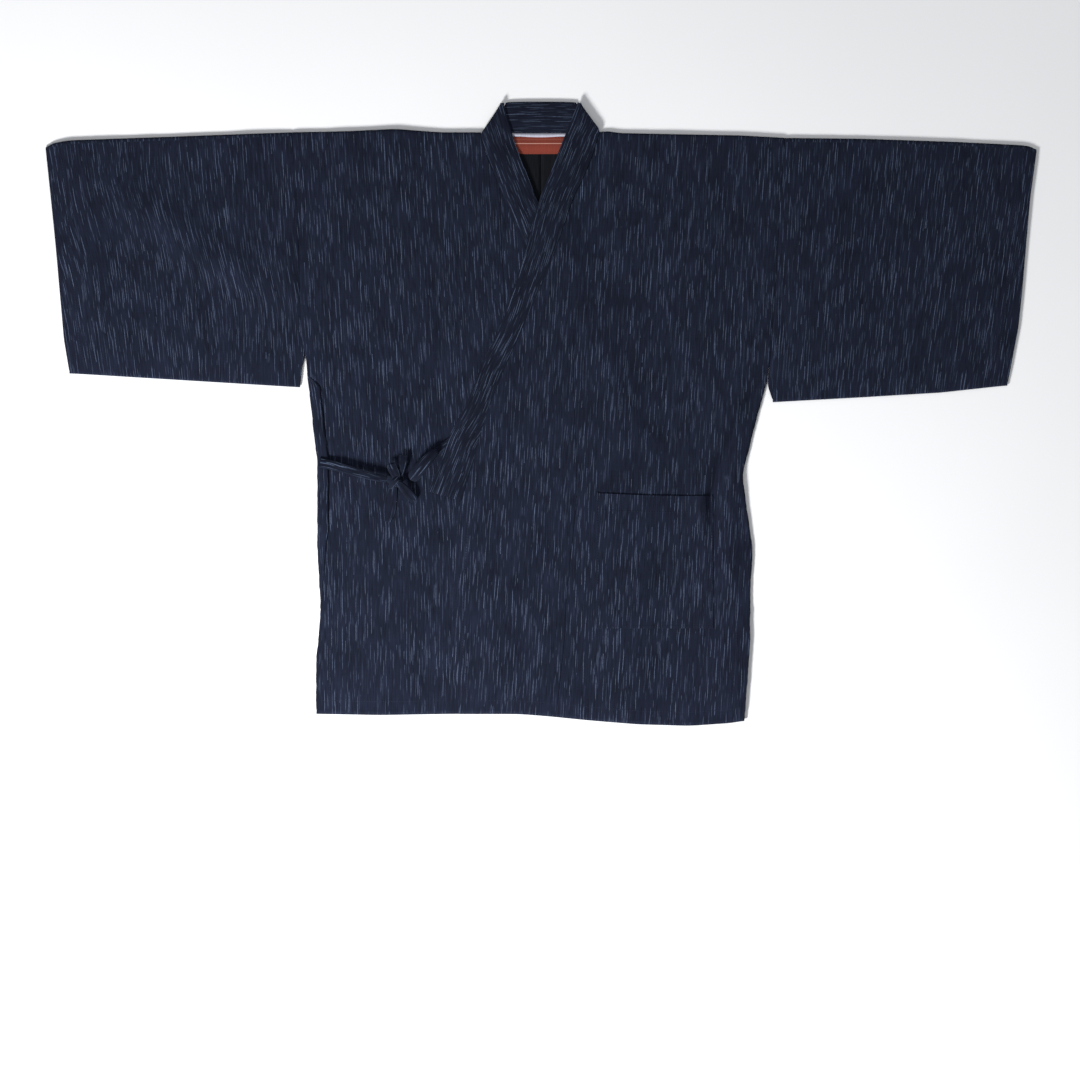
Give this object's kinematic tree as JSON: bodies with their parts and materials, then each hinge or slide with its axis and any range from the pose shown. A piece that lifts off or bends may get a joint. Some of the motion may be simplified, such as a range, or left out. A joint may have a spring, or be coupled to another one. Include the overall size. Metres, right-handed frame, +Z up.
{
  "type": "jinbei top",
  "caption": "Short wrap-front cotton jacket with wide open sleeves, a crossed neckband, a side tie and a patch pocket, laid flat face up.",
  "frame": {"origin": "under the middle of the jacket's box, on the surface that it lies on", "axes": "+X to the wearer's left across both sleeves, +Y up the back towards the neckband, +Z up from the surface through the jacket's thickness"},
  "size_m": [1.238, 0.7796, 0.0096],
  "materials": {
    "kasuri_cotton": "matt navy cotton with fine broken pale-blue stripes along the warp",
    "neckband_cotton": "the same matt navy cotton folded double, its stripes along the band",
    "label_weave": "brick-red woven label, slightly satin, left blank",
    "white_tape": "plain white woven tape"
  },
  "bodies": {
    "root": {"body_right": "kasuri_cotton", "body_left": "kasuri_cotton", "okumi_right": "kasuri_cotton", "okumi_left": "kasuri_cotton", "sleeve_right": "kasuri_cotton", "sleeve_left": "kasuri_cotton", "pocket": "kasuri_cotton", "neckband_back": "neckband_cotton", "neckband_right": "neckband_cotton", "neckband_left": "neckband_cotton", "knot": "neckband_cotton", "tie_side": "neckband_cotton", "tie_collar": "neckband_cotton", "loop_collar": "neckband_cotton", "tail_up": "neckband_cotton", "loop_up": "neckband_cotton", "tail_right": "neckband_cotton", "tail_down": "neckband_cotton", "neck_label": "label_weave", "neck_tape": "white_tape"}
  },
  "joints": []
}
